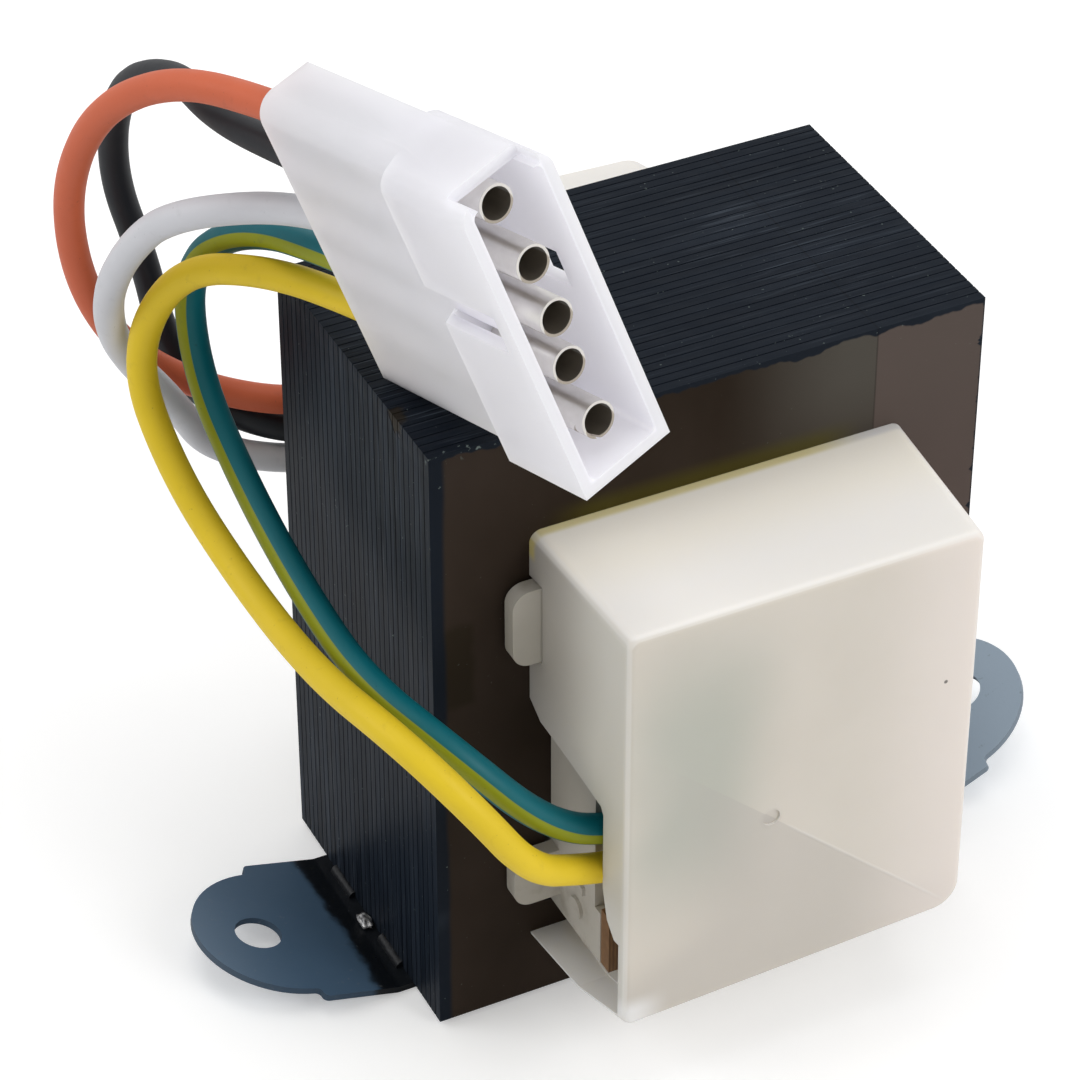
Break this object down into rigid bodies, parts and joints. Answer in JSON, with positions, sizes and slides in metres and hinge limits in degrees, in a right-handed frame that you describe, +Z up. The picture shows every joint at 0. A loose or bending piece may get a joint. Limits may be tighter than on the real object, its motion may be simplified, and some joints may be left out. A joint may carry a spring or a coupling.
{
  "type": "mains transformer",
  "caption": "Laminated mains transformer on a footed strip, with nylon terminal covers and flying leads to a wire-end connector housing.",
  "frame": {"origin": "middle of the mounting strip's underside, under the middle of the core", "axes": "+X along the mounting strip, from the core's E back to its I bar; +Y through the stack, from the front terminal cover to the back one; +Z up"},
  "size_m": [0.0816, 0.0666, 0.0938],
  "materials": {
    "core_varnish": "black dipped varnish, satin",
    "strip_varnish": "black dipped varnish on steel, satin",
    "weld": "bare weld metal",
    "bobbin_nylon": "satin",
    "cover_nylon": "translucent natural nylon, satin",
    "winding": "enamelled copper",
    "tape": "yellow polyester film",
    "board": "brown laminate board",
    "pin": "tinned",
    "solder": "solder",
    "housing_nylon": "natural nylon, satin",
    "contact": "tin plated",
    "orange_pvc": "satin insulation",
    "black_pvc": "satin insulation",
    "white_pvc": "satin insulation",
    "green_yellow_pvc": "satin insulation with a yellow stripe",
    "yellow_pvc": "satin insulation"
  },
  "bodies": {
    "root": {"e_laminations": "core_varnish", "i_laminations": "core_varnish", "base_plate": "strip_varnish", "plate_welds": "weld", "bobbin": "bobbin_nylon", "front_cover": "cover_nylon", "rear_cover": "cover_nylon", "orange_wire": "orange_pvc", "black_wire": "black_pvc", "white_wire": "white_pvc", "green_yellow_wire": "green_yellow_pvc", "yellow_wire": "yellow_pvc", "connector_housing": "housing_nylon", "contact_1": "contact", "contact_2": "contact", "contact_3": "contact", "contact_4": "contact", "contact_5": "contact", "front_terminal_board": "board", "rear_terminal_board": "board", "front_terminal_pins": "pin", "rear_terminal_pins": "pin", "front_solder": "solder", "rear_solder": "solder", "primary_winding": "winding", "secondary_winding": "winding", "primary_tape": "tape", "secondary_tape": "tape"}
  },
  "joints": []
}
